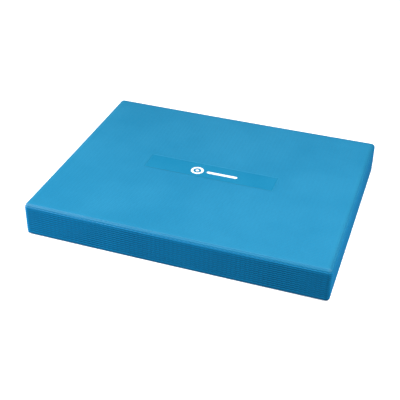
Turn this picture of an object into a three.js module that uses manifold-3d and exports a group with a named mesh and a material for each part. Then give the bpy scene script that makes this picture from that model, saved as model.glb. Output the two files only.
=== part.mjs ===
// Foam balance pad: a soft closed-cell foam block inside a moulded, embossed skin.
//
// Units are millimetres. +X runs along the long side, +Y towards the back and +Z up.
// The origin is the middle of the underside, so the pad stands on Z = 0.

import * as THREE from 'three';
import { mergeVertices } from 'three/addons/utils/BufferGeometryUtils.js';
import Module from 'manifold-3d';

const wasm = await Module();
wasm.setup();

// Driving dimensions of the whole pad.
const LENGTH = 500;
const WIDTH = 395;
const HEIGHT = 58;
const CORNER_RADIUS = 10;      // upright corners, seen from above
const TOP_EDGE_RADIUS = 9;     // rounding where the walls turn into the top

// Skins, and the clearance that neighbouring pieces keep.
const SKIN_THICKNESS = 3;
const GAP = 0.3;

// Smooth panel let into the middle of the top, which carries the print.
const PANEL_LENGTH = 226;
const PANEL_WIDTH = 41;
const PANEL_CORNER = 2;
const PANEL_THICKNESS = 1;
const PANEL_DROP = 0.5;        // how far the panel lies below the top

// Plain printed mark: a ring round a dot, with a bar beside it.
const INK_THICKNESS = 0.2;
const MARK_CENTRE = { x: 7, y: -3 };
const MARK_LENGTH = 82;
const RING_OUTER_RADIUS = 11;
const RING_INNER_RADIUS = 7;
const DOT_RADIUS = 3;
const BAR_LENGTH = 54;
const BAR_WIDTH = 6;
const BAR_CORNER = 2.9;

// Smoothness of the faceted curves: an arc of a shape gets twice its number of segments.
const CORNER_SEGMENTS = 4;
const EDGE_SEGMENTS = 6;
const DISC_SEGMENTS = 16;

// Levels worked out from the sizes above.
const WALL_INSET = SKIN_THICKNESS + GAP;
const CORE_TOP = HEIGHT - SKIN_THICKNESS - GAP;
const CORE_BOTTOM = SKIN_THICKNESS + GAP;
const PANEL_TOP = HEIGHT - PANEL_DROP;
const PANEL_BOTTOM = PANEL_TOP - PANEL_THICKNESS;
const INK_BOTTOM = HEIGHT - INK_THICKNESS;

const skinBlue = { color: 0x2f93c9, roughness: 0.55, metalness: 0 };
const coreBlue = { color: 0x4aa3d2, roughness: 0.9, metalness: 0 };
const panelBlue = { color: 0x2a90ca, roughness: 0.4, metalness: 0 };
const inkWhite = { color: 0xf4f6f7, roughness: 0.45, metalness: 0 };

// Turns a closed three.js geometry into a solid that can be cut.
function toSolid(geometry) {
  const bare = geometry.clone();
  bare.deleteAttribute('normal');
  bare.deleteAttribute('uv');
  const merged = mergeVertices(bare);
  return new wasm.Manifold(new wasm.Mesh({
    numProp: 3,
    vertProperties: new Float32Array(merged.attributes.position.array),
    triVerts: new Uint32Array(merged.index.array),
  }));
}

// Turns a cut solid back into a three.js geometry.
function toGeometry(solid) {
  const mesh = solid.getMesh();
  const geometry = new THREE.BufferGeometry();
  geometry.setAttribute('position', new THREE.BufferAttribute(mesh.vertProperties, 3));
  geometry.setIndex(new THREE.BufferAttribute(mesh.triVerts, 1));
  geometry.computeVertexNormals();
  return geometry;
}

// A rectangle with round corners, centred on the origin.
function roundedRectangle(length, width, radius) {
  const x = length / 2 - radius;
  const y = width / 2 - radius;
  const quarter = Math.PI / 2;
  const shape = new THREE.Shape();
  shape.absarc(x, -y, radius, -quarter, 0);
  shape.absarc(x, y, radius, 0, quarter);
  shape.absarc(-x, y, radius, quarter, 2 * quarter);
  shape.absarc(-x, -y, radius, 2 * quarter, 3 * quarter);
  return shape;
}

// The pad's own outline, moved inwards by an inset.
function padOutline(inset) {
  return roundedRectangle(LENGTH - 2 * inset, WIDTH - 2 * inset, CORNER_RADIUS - inset);
}

// A straight-sided plate between two levels.
function plate(shape, bottom, top, curveSegments) {
  const geometry = new THREE.ExtrudeGeometry(shape, {
    depth: top - bottom,
    bevelEnabled: false,
    curveSegments,
  });
  return geometry.translate(0, 0, bottom);
}

// The pad's form moved inwards by an inset: round top edges, and cut off square at the bottom.
function domedSlab(inset, bottom, top) {
  const radius = TOP_EDGE_RADIUS - inset;
  const depth = top - bottom;
  const rounded = new THREE.ExtrudeGeometry(padOutline(inset), {
    depth,
    bevelThickness: radius,
    bevelSize: radius,
    bevelOffset: -radius,
    bevelSegments: EDGE_SEGMENTS,
    curveSegments: CORNER_SEGMENTS,
  });
  rounded.translate(0, 0, bottom - radius);
  const below = new THREE.BoxGeometry(2 * LENGTH, 2 * WIDTH, HEIGHT);
  below.translate(0, 0, bottom - HEIGHT / 2);
  return toSolid(rounded).subtract(toSolid(below));
}

// The skin is one moulded tray over the top and the four walls, with a shallow pocket for the panel.
function topSkin() {
  const outside = domedSlab(0, 0, HEIGHT);
  const inside = domedSlab(SKIN_THICKNESS, -HEIGHT / 2, HEIGHT - SKIN_THICKNESS);
  const pocketOutline = roundedRectangle(
    PANEL_LENGTH + 2 * GAP,
    PANEL_WIDTH + 2 * GAP,
    PANEL_CORNER + GAP,
  );
  const pocket = plate(pocketOutline, PANEL_BOTTOM - GAP, HEIGHT + 1, CORNER_SEGMENTS);
  return toGeometry(outside.subtract(inside).subtract(toSolid(pocket)));
}

function foamCore() {
  return toGeometry(domedSlab(WALL_INSET, CORE_BOTTOM, CORE_TOP));
}

// The underside is closed by a flat sheet that lies inside the foot of the walls.
function bottomSkin() {
  return plate(padOutline(WALL_INSET), 0, SKIN_THICKNESS, CORNER_SEGMENTS);
}

function printPanel() {
  const outline = roundedRectangle(PANEL_LENGTH, PANEL_WIDTH, PANEL_CORNER);
  return plate(outline, PANEL_BOTTOM, PANEL_TOP, CORNER_SEGMENTS);
}

function disc(radius) {
  const shape = new THREE.Shape();
  shape.absarc(0, 0, radius, 0, 2 * Math.PI);
  return shape;
}

function inkPlate(shape, curveSegments) {
  return plate(shape, INK_BOTTOM, HEIGHT, curveSegments);
}

function markRing() {
  const ring = disc(RING_OUTER_RADIUS);
  ring.holes.push(disc(RING_INNER_RADIUS));
  return inkPlate(ring, DISC_SEGMENTS);
}

function markDot() {
  return inkPlate(disc(DOT_RADIUS), DISC_SEGMENTS);
}

function markBar() {
  return inkPlate(roundedRectangle(BAR_LENGTH, BAR_WIDTH, BAR_CORNER), CORNER_SEGMENTS);
}

function piece(name, geometry, finish) {
  const mesh = new THREE.Mesh(geometry, new THREE.MeshStandardMaterial(finish));
  mesh.name = name;
  return mesh;
}

const ringX = RING_OUTER_RADIUS - MARK_LENGTH / 2;
const barX = MARK_LENGTH / 2 - BAR_LENGTH / 2;
const ring = piece('mark_ring', markRing(), inkWhite);
ring.position.x = ringX;
const dot = piece('mark_dot', markDot(), inkWhite);
dot.position.x = ringX;
const bar = piece('mark_bar', markBar(), inkWhite);
bar.position.x = barX;

const mark = new THREE.Group();
mark.position.set(MARK_CENTRE.x, MARK_CENTRE.y, 0);
mark.add(ring, dot, bar);

const pad = new THREE.Group();
pad.add(
  piece('foam_core', foamCore(), coreBlue),
  piece('top_skin', topSkin(), skinBlue),
  piece('bottom_skin', bottomSkin(), skinBlue),
  piece('print_panel', printPanel(), panelBlue),
  mark,
);

export default pad;
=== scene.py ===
"""Foam balance pad: its looks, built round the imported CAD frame.

All places are in metres in the frame of the CAD part: +X along the long side, +Y towards
the back, +Z up, with the origin in the middle of the underside.
"""

import math

import bpy
import numpy as np
from mathutils import Matrix, Vector


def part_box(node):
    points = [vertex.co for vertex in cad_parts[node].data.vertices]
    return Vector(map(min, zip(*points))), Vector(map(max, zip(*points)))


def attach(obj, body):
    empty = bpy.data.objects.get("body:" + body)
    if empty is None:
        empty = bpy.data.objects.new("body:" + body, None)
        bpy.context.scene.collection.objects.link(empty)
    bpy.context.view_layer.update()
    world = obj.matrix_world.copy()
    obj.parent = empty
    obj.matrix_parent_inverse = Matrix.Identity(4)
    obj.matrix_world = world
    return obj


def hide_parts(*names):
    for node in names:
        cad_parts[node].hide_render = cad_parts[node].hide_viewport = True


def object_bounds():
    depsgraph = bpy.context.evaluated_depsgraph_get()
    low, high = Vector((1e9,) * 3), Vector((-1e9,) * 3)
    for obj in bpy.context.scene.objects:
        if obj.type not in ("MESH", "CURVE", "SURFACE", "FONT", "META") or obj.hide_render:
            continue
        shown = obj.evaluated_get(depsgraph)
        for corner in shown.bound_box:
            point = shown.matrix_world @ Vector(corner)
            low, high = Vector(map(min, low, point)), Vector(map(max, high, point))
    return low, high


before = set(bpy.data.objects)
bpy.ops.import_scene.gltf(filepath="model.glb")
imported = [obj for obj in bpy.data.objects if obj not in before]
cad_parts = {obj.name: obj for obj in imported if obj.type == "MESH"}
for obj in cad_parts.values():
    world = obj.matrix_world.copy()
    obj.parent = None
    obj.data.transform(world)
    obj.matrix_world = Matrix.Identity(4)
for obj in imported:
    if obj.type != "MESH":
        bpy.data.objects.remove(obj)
cad_low, cad_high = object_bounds()

MM = 0.001
BODY = "root"
TURN = 2 * math.pi

# The pad's form.
LENGTH = cad_high.x - cad_low.x
WIDTH = cad_high.y - cad_low.y
HEIGHT = cad_high.z - cad_low.z
CORNER_RADIUS = 7 * MM
LEAST_RADIUS = 0.3 * MM        # of a corner where an outline is moved inwards past its radius
EDGE_RADIUS = 9 * MM
SKIN_THICKNESS = 3 * MM
FIT_GAP = 0.3 * MM             # between the skins and the core
CURL = 1.5 * MM                # how far the corners lift above the middle
FOOT_CHAMFER = 0.6 * MM        # on the walls' lower edge
BASE_EDGE = 0.6 * MM           # rounding of the base sheet's lower edge
CUT_CHAMFER = 0.2 * MM         # on the lower edges of the core and the smooth panel

# The embossing: rows of low ridges that run lengthwise and swing to and fro in step.
RIDGE_PITCH = 3.8 * MM
RIDGE_DEPTH = 0.8 * MM
WAVE_LENGTH = 7.2 * MM
WAVE_SWING = 0.85 * MM
TOP_RELIEF = 0.35              # how much of the ridges' depth the worn top has left
WALL_RIDGES = 16               # from the start of the edge rounding down to the foot
STEPS_PER_WAVE = 4             # mesh columns
WAVES_PER_CORNER = 2
CORNER_STEPS = 10
FADE = 4 * MM                  # over which the embossing runs out
GROOVE_BOTTOM = 0.6            # edges deeper than this in a groove are sharp

# The print.
PANEL_CLEARANCE = 0.02 * MM
PANEL_DROP = 0.42 * MM         # the smooth panel's face below the ridges' tops
PANEL_THICKNESS = 1 * MM
PANEL_CORNER = 0.5 * MM
PANEL_EDGE = 0.04 * MM         # its rounded rim
INK_THICKNESS = 0.06 * MM
RING_HOLE_SHARE = 7 / 11       # the ring's inner radius over its outer one
BAR_END_FLAT = 0.1 * MM        # half of the straight part at each end of the bar

# Mesh columns and rows of the smooth surfaces, and steps round a printed disc.
LINING_CELLS = (40, 32)
CORE_CELLS = (120, 96)
PANEL_CELLS = (90, 16)
BAR_CELLS = (60, 2)
DISC_STEPS = 96

# Colours, as linear light.
# The wall and top tones are one blue painted with different light: the top's is darker and cyan
# with painted sheen, the walls' is lighter.
WALL_LIT_DEEP = (0.0002, 0.242, 0.565, 1)
WALL_LIT_PALE = (0.001, 0.275, 0.625, 1)
TOP_SHEEN_DEEP = (0.010, 0.172, 0.314, 1)
TOP_SHEEN_PALE = (0.015, 0.191, 0.340, 1)
SKIN_GRAIN = (0.020, 0.255, 0.455, 1)
# Painted shade, mixed in towards the grooves' bottoms.
SKIN_GROOVE_SHADE = (0.0005, 0.105, 0.290, 1)
SKIN_RUB = (0.080, 0.280, 0.440, 1)
PANEL_DEEP = (0.003, 0.162, 0.306, 1)
PANEL_LIGHT = (0.006, 0.173, 0.321, 1)
CORE_DEEP = (0.020, 0.200, 0.400, 1)
CORE_PALE = (0.080, 0.380, 0.620, 1)
INK_WHITE = (0.850, 0.865, 0.880, 1)
INK_THIN = (0.550, 0.700, 0.800, 1)
FLOOR_TONES = ((0.910, 0.915, 0.920, 1), (0.940, 0.940, 0.940, 1))
FLOOR_GLOW = 0.35              # keeps the floor pale where the softboxes don't reach
FLOOR_SIZE = 40
FLOOR_DROP = 0.1 * MM          # below the pad

# The studio light. Each softbox has its azimuth and elevation in degrees, its distance from
# the pad, its side and its power. Azimuth 0 is in front and 90 is to the right.
WORLD_STRENGTH = 0.15
SOFTBOXES = {
    "left_low": (-74, 18, 1.5, 0.6, 20),
    "front_left": (-48, 40, 1.5, 0.6, 11.5),
    "right": (80, 54, 1.5, 0.7, 25),
    "above": (-30, 70, 1.0, 0.5, 2),
    "back": (190, 50, 2.2, 1.2, 1),
}

# The camera.
CAMERA_AZIMUTH = math.radians(18.41)
CAMERA_ELEVATION = math.radians(33.94)
CAMERA_ROLL = math.radians(1.05)
CAMERA_DISTANCE = 1.3695
CAMERA_TARGET = Vector((-0.0021, -0.0488, 0.029))
CAMERA_LENS = 73.6


def smooth_step(value, start, end):
    """0 before start, 1 after end, and a smooth rise between."""
    t = np.clip((value - start) / (end - start), 0, 1)
    return t * t * (3 - 2 * t)


# ---------------------------------------------------------------- camera


def direction(azimuth, elevation):
    """The way out from the pad to a light or a camera. Azimuth 0 is in front, along -Y."""
    flat = math.cos(elevation)
    return Vector((math.sin(azimuth) * flat, -math.cos(azimuth) * flat, math.sin(elevation)))


def make_camera():
    a, r = CAMERA_AZIMUTH, CAMERA_ROLL
    back = direction(CAMERA_AZIMUTH, CAMERA_ELEVATION)
    level_right = Vector((math.cos(a), math.sin(a), 0))
    level_up = back.cross(level_right)
    right = level_right * math.cos(r) + level_up * math.sin(r)
    up = level_up * math.cos(r) - level_right * math.sin(r)
    data = bpy.data.cameras.new("camera")
    data.lens = CAMERA_LENS
    camera = bpy.data.objects.new("camera", data)
    bpy.context.scene.collection.objects.link(camera)
    turn = Matrix((right, up, back)).transposed().to_4x4()
    camera.matrix_world = Matrix.Translation(CAMERA_TARGET + back * CAMERA_DISTANCE) @ turn
    bpy.context.scene.camera = camera


# ---------------------------------------------------------------- mesh building


class Lid:
    """A rectangular grid with rings of vertices hanging from its border.

    Its outline is a rectangle with round corners. The grid ends one border inside it. One
    column of vertices hangs from each border vertex, and a fan of them from each corner, in
    order round the lid: front, right, back, left. A hole is left out of the grid's middle.
    """

    def __init__(self, half, corner, border, cells, rings, corner_steps, hole=None):
        self.half, self.corner, self.border = half, corner, border
        self.cells, self.rings, self.corner_steps = cells, rings, corner_steps
        self.hole = None
        self.xs, self.ys = (np.linspace(border - h, h - border, n + 1)
                            for h, n in zip(half, cells))
        if hole:
            self.xs, low_i, high_i = self.with_hole_lines(self.xs, hole[0])
            self.ys, low_j, high_j = self.with_hole_lines(self.ys, hole[1])
            self.hole = (low_i, high_i, low_j, high_j)
        self.columns = []
        for side in range(4):
            self.columns += [(side, step, False) for step in range(1, cells[side % 2])]
            self.columns += [(side, step, True) for step in range(corner_steps + 1)]
        self.side = np.array([c[0] for c in self.columns])
        self.at_corner = np.array([c[2] for c in self.columns])
        self.place_columns()

    @staticmethod
    def with_hole_lines(lines, hole_half):
        """The grid lines moved a little, so that two of them lie on the hole's edges."""
        count = len(lines) - 1
        step = lines[1] - lines[0]
        low = count // 2 - round(hole_half / step)
        high = count - low
        at = np.interp(range(count + 1), (0, low, high, count),
                       (lines[0], -hole_half, hole_half, lines[-1]))
        return at, low, high

    def grid_index(self, i, j):
        return j * (self.cells[0] + 1) + i

    def anchor(self, column):
        """The grid vertex that a column hangs from."""
        side, step, at_corner = column
        nx, ny = self.cells
        if at_corner:
            return self.grid_index(*((nx, 0), (nx, ny), (0, ny), (0, 0))[side])
        return self.grid_index(*((step, 0), (nx, step), (nx - step, ny), (0, ny - step))[side])

    def ring(self, number):
        """The vertices of a ring, in order. Ring 0 is the grid's border."""
        if number == 0:
            return [self.anchor(column) for column in self.columns]
        start = len(self.xs) * len(self.ys) + (number - 1) * len(self.columns)
        return list(range(start, start + len(self.columns)))

    def faces(self):
        nx, ny = self.cells
        low_i, high_i, low_j, high_j = self.hole or (0, 0, 0, 0)
        found = []
        for j in range(ny):
            for i in range(nx):
                if not (low_i <= i < high_i and low_j <= j < high_j):
                    at = ((i, j), (i + 1, j), (i + 1, j + 1), (i, j + 1))
                    found.append(tuple(self.grid_index(*corner) for corner in at))
        for number in range(self.rings):
            upper, lower = self.ring(number), self.ring(number + 1)
            for c in range(len(upper)):
                before = c - 1
                if upper[before] == upper[c]:
                    found.append((upper[c], lower[before], lower[c]))
                else:
                    found.append((upper[before], lower[before], lower[c], upper[c]))
        return found

    def hole_border(self):
        """The vertices round the hole, anticlockwise."""
        low_i, high_i, low_j, high_j = self.hole
        loop = [(i, low_j) for i in range(low_i, high_i)]
        loop += [(high_i, j) for j in range(low_j, high_j)]
        loop += [(i, high_j) for i in range(high_i, low_i, -1)]
        loop += [(low_i, j) for j in range(high_j, low_j, -1)]
        return [self.grid_index(*at) for at in loop]

    def place_columns(self):
        """The foot of each column's radius, and its outward direction."""
        in_x, in_y = self.half[0] - self.corner, self.half[1] - self.corner
        feet, angles = [], []
        for side, step, at_corner in self.columns:
            lines = (self.xs, self.ys)[side % 2]
            along = (in_x, in_y)[side % 2] if at_corner else lines[step if side < 2 else -1 - step]
            if at_corner and side >= 2:
                along = -along
            feet.append(((along, -in_y), (in_x, along), (along, in_y), (-in_x, along))[side])
            turned = step / self.corner_steps if at_corner else 0
            angles.append(TURN / 4 * (side - 1 + turned))
        self.feet = np.array(feet)
        self.outward = np.column_stack((np.cos(angles), np.sin(angles)))

    def grid_points(self):
        """The grid in rows. Its corners lie on the round corners, so that the fans open evenly."""
        grid = np.stack(np.meshgrid(self.xs, self.ys), axis=-1)
        radius = max(self.corner - self.border, LEAST_RADIUS)
        reach = np.array(self.half) - self.border - radius * (1 - math.sqrt(0.5))
        for j in (0, -1):
            for i in (0, -1):
                grid[j, i] = np.sign(grid[j, i]) * reach
        return grid

    def ring_points(self, inset, z):
        """One vertex on each column, at an inset from the outline and at a height."""
        radius = np.broadcast_to(self.corner - inset, len(self.feet))[:, None]
        lost = np.maximum(LEAST_RADIUS - radius, 0) * self.at_corner[:, None]
        flat = self.feet - np.sign(self.feet) * lost + self.outward * (radius + lost)
        return np.column_stack((flat, np.broadcast_to(z, len(flat))))


class Shell:
    """Points and faces of an open surface, with the loop of vertices that it ends at."""

    def __init__(self, points, faces, loop, groove=None):
        self.points, self.faces, self.loop = points, faces, loop
        self.groove = np.zeros(len(points)) if groove is None else groove

    def turned_over(self):
        """Turned half a turn about X, so that it faces down."""
        turned = self.points * np.array((1, -1, -1))
        return Shell(turned, self.faces, self.loop, self.groove)

    def raised(self, z):
        return Shell(self.points + np.array((0, 0, z)), self.faces, self.loop, self.groove)

    def inside_out(self):
        return Shell(self.points, [face[::-1] for face in self.faces], self.loop, self.groove)


def zipped(points, outer, inner):
    """Triangles between two loops round the Z axis. The outer or upper loop comes first."""
    def by_angle(loop):
        angles = np.round(np.arctan2(points[loop, 1], points[loop, 0]), 9) % TURN
        order = np.argsort(angles, kind="stable")
        vertices = [loop[k] for k in order] + [loop[order[0]]]
        return vertices, np.append(angles[order], angles[order[0]] + TURN)

    a, angle_a = by_angle(outer)
    b, angle_b = by_angle(inner)
    found, i, j = [], 0, 0
    while i < len(a) - 1 or j < len(b) - 1:
        b_is_done = j == len(b) - 1
        if b_is_done or (i < len(a) - 1 and angle_a[i + 1] <= angle_b[j + 1]):
            found.append((a[i], b[j], a[i + 1]))
            i += 1
        else:
            found.append((a[i], b[j], b[j + 1]))
            j += 1
    return found


def closed(upper, lower):
    """One closed solid from two shells that end at loops near each other."""
    points = np.concatenate((upper.points, lower.points))
    shift = len(upper.points)
    faces = list(upper.faces) + [tuple(v + shift for v in face) for face in lower.faces]
    lower_loop = [v + shift for v in lower.loop]
    faces += zipped(points, upper.loop, lower_loop)
    return points, faces, np.concatenate((upper.groove, lower.groove))


def plain_lid(half, corner, profile, cells, corner_steps):
    """A smooth shell whose rings follow a profile of (inset, height) pairs from the grid on."""
    border, top = profile[0]
    lid = Lid(half, corner, border, cells, len(profile) - 1, corner_steps)
    grid = lid.grid_points().reshape(-1, 2)
    parts = [np.column_stack((grid, np.full(len(grid), top)))]
    parts += [lid.ring_points(inset, z) for inset, z in profile[1:]]
    return Shell(np.concatenate(parts), lid.faces(), lid.ring(lid.rings))


def flat_base(half, corner, z, chamfer, cells, corner_steps):
    """A flat shell that faces down, and ends a chamfer inside the outline."""
    flat = plain_lid(half, corner, [(corner, 0), (chamfer, 0)], cells, corner_steps)
    return flat.turned_over().raised(z)


def round_profile(radius, top, foot, steps):
    """Insets and heights of a rounded upper edge that goes on as a straight wall."""
    angles = [TURN / 4 * k / steps for k in range(steps + 1)]
    curve = [(radius * (1 - math.sin(a)), top - radius * (1 - math.cos(a))) for a in angles]
    return curve + [(0, foot)]


def emboss_cells(half, border):
    """Mesh columns and rows that fit whole waves and whole ridges, with two rows to a ridge."""
    return (STEPS_PER_WAVE * round(2 * (half[0] - border) / WAVE_LENGTH),
            4 * round((half[1] - border) / RIDGE_PITCH))


def emboss(row, phase, strength):
    """The relief at a mesh row: how far it lies below the ridges' tops, and its swing.

    Even rows run along ridges and odd rows along grooves. The phase is in turns. Where the
    strength is 0 the relief runs out at mid depth.
    """
    swing = WAVE_SWING * np.sin(TURN * phase) * smooth_step(strength, 0, TOP_RELIEF)
    return RIDGE_DEPTH * (0.5 + (row % 2 - 0.5) * strength), swing


def embossed_grid(lid, top, strength_at):
    """The grid's points with the ridges, and how deep each lies in its groove, from 0 to 1."""
    grid = lid.grid_points()
    strength = strength_at(grid[..., 0], grid[..., 1])
    row = np.arange(lid.cells[1] + 1)[:, None]
    phase = np.arange(lid.cells[0] + 1) / STEPS_PER_WAVE
    drop, swing = emboss(row, phase, strength)
    points = np.stack((grid[..., 0], grid[..., 1] + swing, top - drop), axis=-1)
    return points.reshape(-1, 3), (drop / RIDGE_DEPTH).ravel()


def column_phases(lid):
    """The wave's phase at each column of a lid, in turns."""
    corner_columns = lid.corner_steps + 1
    corner = WAVES_PER_CORNER * (np.arange(corner_columns) + 0.5) / corner_columns
    sides = [np.arange(1, cells) / STEPS_PER_WAVE for cells in lid.cells]
    return np.concatenate([sides[0], corner, sides[1], corner] * 2)


def curled(points):
    """The pad's slight dish: the middle lies on the floor and the corners lift."""
    x, y, z = points.T
    lift = CURL / 2 * ((2 * x / LENGTH) ** 2 + (2 * y / WIDTH) ** 2)
    return np.column_stack((x, y, z * (1 - CURL / HEIGHT) + lift))


def without_loose_points(points, faces, groove):
    """The same solid without the points that no face uses, such as those in a lid's hole."""
    used = np.unique(np.fromiter((v for face in faces for v in face), np.int64))
    new_index = np.zeros(len(points), np.int64)
    new_index[used] = np.arange(len(used))
    new_index = new_index.tolist()
    return points[used], [[new_index[v] for v in face] for face in faces], groove[used]


def make_piece(name, solid, material):
    """A mesh object that rides on the pad's body. Its grooves have sharp bottoms."""
    points, faces, groove = without_loose_points(*solid)
    mesh = bpy.data.meshes.new(name)
    mesh.from_pydata(curled(points).tolist(), [], faces)
    mesh.shade_smooth()
    ends = np.empty(2 * len(mesh.edges), np.int32)
    mesh.edges.foreach_get("vertices", ends)
    in_groove = (groove[ends] > GROOVE_BOTTOM).reshape(-1, 2).all(axis=1)
    sharp = mesh.attributes.new("sharp_edge", "BOOLEAN", "EDGE")
    sharp.data.foreach_set("value", in_groove)
    depth = mesh.attributes.new("groove", "FLOAT", "POINT")
    depth.data.foreach_set("value", groove.astype(np.float32))
    mesh.materials.append(material)
    piece = bpy.data.objects.new(name, mesh)
    bpy.context.scene.collection.objects.link(piece)
    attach(piece, BODY)
    return piece


# ---------------------------------------------------------------- pieces


def panel_size():
    """Half the panel's length and half its width."""
    low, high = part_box("print_panel")
    return (high.x - low.x) / 2, (high.y - low.y) / 2


def skin_strength(x, y):
    """The embossing on the top runs out at the short sides and at the panel."""
    half_x, half_y = panel_size()
    to_side = LENGTH / 2 - EDGE_RADIUS - np.abs(x)
    to_panel = np.maximum(np.abs(x) - half_x, np.abs(y) - half_y)
    run_out = smooth_step(to_side, 0, FADE) * smooth_step(to_panel, RIDGE_PITCH / 4, RIDGE_PITCH)
    return TOP_RELIEF * run_out


def embossed_ring(lid, phases, number):
    """A ring of the skin's rounded edge and wall, and how deep it lies in its groove.

    The rings follow the surface outwards from the grid's border, over the edge and down.
    """
    quarter = EDGE_RADIUS * TURN / 4
    total = quarter + HEIGHT - EDGE_RADIUS - FOOT_CHAMFER
    along = total * number / (2 * WALL_RIDGES)
    on_long_side = (lid.side % 2 == 0) & ~lid.at_corner
    from_corner = LENGTH / 2 - EDGE_RADIUS - np.abs(lid.feet[:, 0])
    from_top = np.where(on_long_side, TOP_RELIEF * smooth_step(from_corner, 0, FADE), 0)
    on_edge = smooth_step(along, 0, EDGE_RADIUS)
    strength = (from_top + (1 - from_top) * on_edge) * smooth_step(total - along, 0, FADE)
    drop, swing = emboss(number, phases, strength)
    along = along + swing
    angle = np.clip(along / EDGE_RADIUS, 0, TURN / 4)
    reach = EDGE_RADIUS * np.sin(angle) + np.minimum(along, 0)
    fall = EDGE_RADIUS * (1 - np.cos(angle)) + np.maximum(along - quarter, 0)
    inset = EDGE_RADIUS - reach + drop * np.sin(angle)
    return lid.ring_points(inset, HEIGHT - fall - drop * np.cos(angle)), drop / RIDGE_DEPTH


def skin_outside():
    """The embossed top, edges and walls as one surface, with the panel's pocket in it."""
    half = (LENGTH / 2, WIDTH / 2)
    pocket = [size + PANEL_CLEARANCE for size in panel_size()]
    rings = 2 * WALL_RIDGES
    lid = Lid(half, CORNER_RADIUS, EDGE_RADIUS, emboss_cells(half, EDGE_RADIUS), rings + 1,
              CORNER_STEPS, hole=pocket)
    points, groove = embossed_grid(lid, HEIGHT, skin_strength)
    phases = column_phases(lid)
    straight = ~lid.at_corner
    border = np.array(lid.ring(0))[straight]
    border_points, border_groove = embossed_ring(lid, phases, 0)
    points[border], groove[border] = border_points[straight], border_groove[straight]
    parts, grooves = [points], [groove]
    for number in range(1, rings + 1):
        ring, ring_groove = embossed_ring(lid, phases, number)
        parts.append(ring)
        grooves.append(ring_groove)
    parts.append(lid.ring_points(FOOT_CHAMFER, 0))
    grooves.append(np.zeros(len(lid.columns)))
    points, groove = np.concatenate(parts), np.concatenate(grooves)

    rim = lid.hole_border()
    floor = points[rim] * np.array((1, 1, 0))
    floor[:, 2] = HEIGHT - PANEL_DROP - PANEL_THICKNESS - PANEL_CLEARANCE
    faces = lid.faces()
    first = len(points)
    bottom = list(range(first, first + len(rim)))
    for k in range(len(rim)):
        faces.append((rim[k - 1], rim[k], bottom[k], bottom[k - 1]))
    faces.append(tuple(bottom))
    points = np.concatenate((points, floor))
    groove = np.concatenate((groove, np.zeros(len(floor))))
    return Shell(points, faces, lid.ring(lid.rings), groove)


def make_top_skin(material):
    half = (LENGTH / 2 - SKIN_THICKNESS, WIDTH / 2 - SKIN_THICKNESS)
    profile = round_profile(EDGE_RADIUS - SKIN_THICKNESS, HEIGHT - SKIN_THICKNESS, 0, 4)
    inside = plain_lid(half, CORNER_RADIUS - SKIN_THICKNESS, profile, LINING_CELLS, 4)
    skin = make_piece("embossed_skin", closed(skin_outside(), inside.inside_out()), material)
    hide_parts("top_skin")


def make_bottom_skin(material):
    """A sheet inside the foot of the walls, with the same embossing on its underside."""
    inset = SKIN_THICKNESS + FIT_GAP
    half = (LENGTH / 2 - inset, WIDTH / 2 - inset)
    corner = CORNER_RADIUS - inset
    low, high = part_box("bottom_skin")

    def strength_at(x, y):
        to_edge = np.minimum(half[0] - corner - np.abs(x), half[1] - corner - np.abs(y))
        return smooth_step(to_edge, 0, FADE)

    level = -low.z - RIDGE_DEPTH / 2
    rim = round_profile(BASE_EDGE, level, level - 2 * BASE_EDGE, 3)
    lid = Lid(half, corner, corner, emboss_cells(half, corner), len(rim), CORNER_STEPS)
    points, groove = embossed_grid(lid, -low.z, strength_at)
    parts = [points] + [lid.ring_points(rim_inset, z) for rim_inset, z in rim]
    groove = np.concatenate((groove, np.zeros(len(rim) * len(lid.columns))))
    under = Shell(np.concatenate(parts), lid.faces(), lid.ring(lid.rings), groove)
    over = plain_lid(half, corner, [(corner, high.z), (0, high.z)], LINING_CELLS, 4)
    sheet = make_piece("embossed_base_sheet", closed(over, under.turned_over()), material)
    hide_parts("bottom_skin")


def make_core(material):
    inset = SKIN_THICKNESS + FIT_GAP
    low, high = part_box("foam_core")
    half = (LENGTH / 2 - inset, WIDTH / 2 - inset)
    corner = CORNER_RADIUS - inset
    profile = round_profile(EDGE_RADIUS - inset, high.z, low.z + CUT_CHAMFER, 6)
    over = plain_lid(half, corner, profile, CORE_CELLS, 6)
    under = flat_base(half, corner, low.z, CUT_CHAMFER, CORE_CELLS, 6)
    core = make_piece("foam_block", closed(over, under), material)
    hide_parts("foam_core")


def make_panel(material):
    half = panel_size()
    top = HEIGHT - PANEL_DROP
    foot = top - PANEL_THICKNESS
    profile = round_profile(PANEL_EDGE, top, foot + CUT_CHAMFER, 3)
    over = plain_lid(half, PANEL_CORNER, profile, PANEL_CELLS, 3)
    under = flat_base(half, PANEL_CORNER, foot, CUT_CHAMFER, PANEL_CELLS, 3)
    panel = make_piece("smooth_panel", closed(over, under), material)
    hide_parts("print_panel")


def turned_ink(centre, inner, outer, low, steps):
    """A flat ring of ink with softened edges, or a disc where the inner radius is 0."""
    soft = INK_THICKNESS
    high = low + INK_THICKNESS
    edge = [(0, low), (soft / 4, high - soft / 3), (soft, high)]
    section = [(outer - depth, z) for depth, z in edge]
    section += [(inner + (outer - inner) * share, high) for share in (0.75, 0.5, 0.25)]
    if inner:
        section += [(inner + depth, z) for depth, z in reversed(edge)]
    radius, z = (np.repeat(values, steps) for values in np.transpose(section))
    angle = np.tile(np.arange(steps) * TURN / steps, len(section))
    points = np.column_stack((centre.x + radius * np.cos(angle),
                              centre.y + radius * np.sin(angle), z))
    rings = np.arange(len(points)).reshape(-1, steps).tolist()
    faces = [] if inner else [rings[0][::-1], rings[-1]]
    pairs = list(zip(rings, rings[1:]))
    if inner:
        pairs.append((rings[-1], rings[0]))
    for a, b in pairs:
        faces += [(a[k - 1], a[k], b[k], b[k - 1]) for k in range(steps)]
    return points, faces, np.zeros(len(points))


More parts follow.
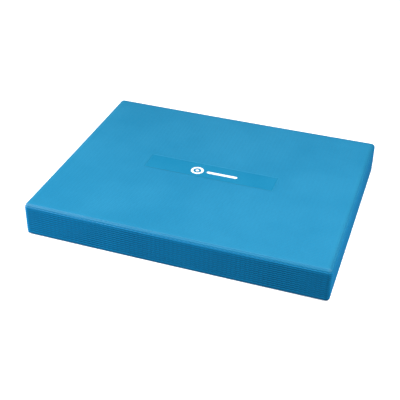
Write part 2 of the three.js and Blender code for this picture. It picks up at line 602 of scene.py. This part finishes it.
def make_mark(material):
    """A plain ring round a dot, with a bar beside it, as a thin film of ink on the panel."""
    low = HEIGHT - PANEL_DROP
    for node, share in (("mark_ring", RING_HOLE_SHARE), ("mark_dot", 0)):
        box_low, box_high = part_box(node)
        outer = (box_high.x - box_low.x) / 2
        solid = turned_ink((box_low + box_high) / 2, outer * share, outer, low, DISC_STEPS)
        ink = make_piece("ink_" + node, solid, material)
        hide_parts(node)
    box_low, box_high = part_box("mark_bar")
    centre = (box_low + box_high) / 2
    half = ((box_high.x - box_low.x) / 2, (box_high.y - box_low.y) / 2)
    corner = half[1] - BAR_END_FLAT
    soft = INK_THICKNESS
    profile = [(corner, soft), (corner / 2, soft), (soft, soft), (0, soft / 2)]
    over = plain_lid(half, corner, profile, BAR_CELLS, 10)
    points, faces, groove = closed(over, flat_base(half, corner, 0, soft / 2, BAR_CELLS, 10))
    points = points + np.array((centre.x, centre.y, low))
    ink = make_piece("ink_mark_bar", (points, faces, groove), material)
    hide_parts("mark_bar")


# ---------------------------------------------------------------- materials


class Look:
    """A material's node tree, with short calls for the nodes that the looks here share."""

    def __init__(self, name):
        self.material = bpy.data.materials.new(name)
        self.material.use_nodes = True
        self.tree = self.material.node_tree
        self.shader = self.tree.nodes["Principled BSDF"]
        self.place = self.tree.nodes.new("ShaderNodeTexCoord").outputs["Object"]

    def put(self, socket, value):
        """Links an input to another node's output, or gives it a plain value."""
        if isinstance(value, bpy.types.NodeSocket):
            self.tree.links.new(value, socket)
        else:
            socket.default_value = value

    def node(self, kind, inputs=(), **settings):
        node = self.tree.nodes.new(kind)
        for name, value in settings.items():
            setattr(node, name, value)
        for name, value in dict(inputs).items():
            self.put(node.inputs[name], value)
        return node

    def noise(self, size, detail=2.0, roughness=0.5):
        """Noise with features of about a size, from 0 to 1 round a mean of 0.5."""
        inputs = {"Vector": self.place, "Scale": 1 / size, "Detail": detail,
                  "Roughness": roughness}
        return self.node("ShaderNodeTexNoise", inputs).outputs["Fac"]

    def cells(self, size):
        """The distance to the nearest of many scattered points, for foam cells."""
        inputs = {"Vector": self.place, "Scale": 1 / size}
        return self.node("ShaderNodeTexVoronoi", inputs).outputs["Distance"]

    def attribute(self, name):
        return self.node("ShaderNodeAttribute", attribute_name=name).outputs["Fac"]

    def ranged(self, value, low, high, to_low, to_high):
        inputs = {"Value": value, "From Min": low, "From Max": high,
                  "To Min": to_low, "To Max": to_high}
        return self.node("ShaderNodeMapRange", inputs).outputs["Result"]

    def product(self, a, b):
        return self.node("ShaderNodeMath", {0: a, 1: b}, operation="MULTIPLY").outputs["Value"]

    def mixed(self, factor, a, b):
        """Colour a where the factor is 0, and colour b where it is 1."""
        node = self.node("ShaderNodeMix", data_type="RGBA")
        sockets = {socket.name: socket for socket in node.inputs if socket.enabled}
        for name, value in (("Factor", factor), ("A", a), ("B", b)):
            self.put(sockets[name], value)
        return next(out for out in node.outputs if out.enabled)

    def set(self, **values):
        """Sets or links the shader's sockets, named with underscores for spaces."""
        for name, value in values.items():
            self.put(self.shader.inputs[name.replace("_", " ")], value)

    def bump(self, height, strength, distance):
        inputs = {"Height": height, "Strength": strength, "Distance": distance}
        self.set(Normal=self.node("ShaderNodeBump", inputs).outputs["Normal"])


def foam_skin_look():
    """Blue elastomer skin: mottled, with painted shade in the grooves, and faint rub on the
    ridges.

    The top and the walls are copies of one blue with painted light: the top is darker and more
    cyan, with painted sheen, and the walls are lighter.
    """
    look = Look("blue_foam_skin")
    patches = look.ranged(look.noise(90 * MM), 0.35, 0.65, 0, 1)
    height = look.node("ShaderNodeSeparateXYZ", {"Vector": look.place}).outputs["Z"]
    # Painted light: above the edge rounding, the skin takes the top's darker, cyan, painted-sheen
    # tones in place of the walls' lighter ones.
    top_light_mask = look.ranged(height, HEIGHT - EDGE_RADIUS, HEIGHT - EDGE_RADIUS / 3, 0, 1)
    walls = look.mixed(patches, WALL_LIT_DEEP, WALL_LIT_PALE)
    top = look.mixed(patches, TOP_SHEEN_DEEP, TOP_SHEEN_PALE)
    colour = look.mixed(top_light_mask, walls, top)
    grain = look.ranged(look.noise(0.9 * MM, detail=3.0), 0.3, 0.7, 0, 0.22)
    colour = look.mixed(grain, colour, SKIN_GRAIN)
    # Painted shade: the deeper a point lies in its groove, the darker its colour.
    groove = look.ranged(look.attribute("groove"), 0.5, 1, 0, 0.8)
    colour = look.mixed(groove, colour, SKIN_GROOVE_SHADE)
    rub = look.ranged(look.noise(28 * MM, detail=4.0, roughness=0.6), 0.55, 0.75, 0, 0.12)
    ridge = look.ranged(look.attribute("groove"), 0, 0.4, 1, 0)
    colour = look.mixed(look.product(rub, ridge), colour, SKIN_RUB)
    look.set(Base_Color=colour)
    look.set(Roughness=look.ranged(look.noise(6 * MM, detail=4.0), 0.3, 0.7, 0.38, 0.48))
    look.set(Specular_IOR_Level=0.24)
    look.bump(look.noise(0.7 * MM, detail=3.0, roughness=0.6), 0.25, 0.1 * MM)
    return look.material


def smooth_panel_look():
    look = Look("smooth_blue_panel")
    patches = look.ranged(look.noise(60 * MM), 0.35, 0.65, 0, 1)
    colour = look.mixed(patches, PANEL_DEEP, PANEL_LIGHT)
    grain = look.ranged(look.noise(0.5 * MM, detail=2.0), 0.3, 0.7, 0, 0.12)
    look.set(Base_Color=look.mixed(grain, colour, SKIN_GRAIN))
    look.set(Roughness=look.ranged(look.noise(9 * MM, detail=3.0), 0.3, 0.7, 0.4, 0.5))
    look.set(Specular_IOR_Level=0.22)
    look.bump(look.noise(2.5 * MM, detail=2.0), 0.12, 0.1 * MM)
    return look.material


def foam_core_look():
    """Cut closed-cell foam: fine round cells with paler walls."""
    look = Look("closed_cell_foam")
    walls = look.ranged(look.cells(0.8 * MM), 0.25, 0.6, 0, 1)
    colour = look.mixed(walls, CORE_DEEP, CORE_PALE)
    patches = look.ranged(look.noise(40 * MM), 0.35, 0.65, 0, 0.3)
    look.set(Base_Color=look.mixed(patches, colour, TOP_SHEEN_PALE))
    look.set(Roughness=look.ranged(look.noise(3 * MM), 0.3, 0.7, 0.8, 0.95))
    look.bump(look.cells(0.8 * MM), 0.4, 0.2 * MM)
    return look.material


def ink_look():
    """White screen-printed ink, a little uneven where it covers the blue."""
    look = Look("white_print_ink")
    thin = look.ranged(look.noise(1.2 * MM, detail=4.0, roughness=0.7), 0.62, 0.8, 0, 0.3)
    look.set(Base_Color=look.mixed(thin, INK_WHITE, INK_THIN))
    look.set(Roughness=look.ranged(look.noise(2 * MM), 0.3, 0.7, 0.4, 0.55))
    look.bump(look.noise(0.6 * MM), 0.1, 0.05 * MM)
    return look.material


def floor_look():
    look = Look("pale_floor")
    tone = look.ranged(look.noise(0.4), 0.3, 0.7, 0, 1)
    look.set(Base_Color=look.mixed(tone, FLOOR_TONES[0], FLOOR_TONES[1]), Roughness=0.9)
    look.set(Emission_Color=(1, 1, 1, 1), Emission_Strength=FLOOR_GLOW)
    return look.material


# ---------------------------------------------------------------- floor and light


def make_floor(material):
    """A plane that lights and mirrors nothing, so that the pad's walls keep their depth."""
    bpy.ops.mesh.primitive_plane_add(size=FLOOR_SIZE, location=(0, 0, cad_low.z - FLOOR_DROP))
    floor = bpy.context.object
    floor.name = "floor"
    floor.data.materials.append(material)
    floor.visible_diffuse = False
    floor.visible_glossy = False


def make_softbox(name, azimuth, elevation, distance, size, power):
    data = bpy.data.lights.new(name, "AREA")
    data.size = size
    data.energy = power
    light = bpy.data.objects.new(name, data)
    bpy.context.scene.collection.objects.link(light)
    light.location = direction(math.radians(azimuth), math.radians(elevation)) * distance
    light.rotation_euler = light.location.to_track_quat("Z", "Y").to_euler()


def light_studio():
    world = bpy.data.worlds.new("studio")
    world.use_nodes = True
    background = world.node_tree.nodes["Background"]
    background.inputs["Color"].default_value = (1, 1, 1, 1)
    background.inputs["Strength"].default_value = WORLD_STRENGTH
    bpy.context.scene.world = world
    bpy.context.scene.view_settings.view_transform = "Standard"
    for name, setting in SOFTBOXES.items():
        make_softbox(name, *setting)


# ---------------------------------------------------------------- the scene


make_camera()
light_studio()
make_floor(floor_look())
skin = foam_skin_look()
make_core(foam_core_look())
make_top_skin(skin)
make_bottom_skin(skin)
make_panel(smooth_panel_look())
make_mark(ink_look())
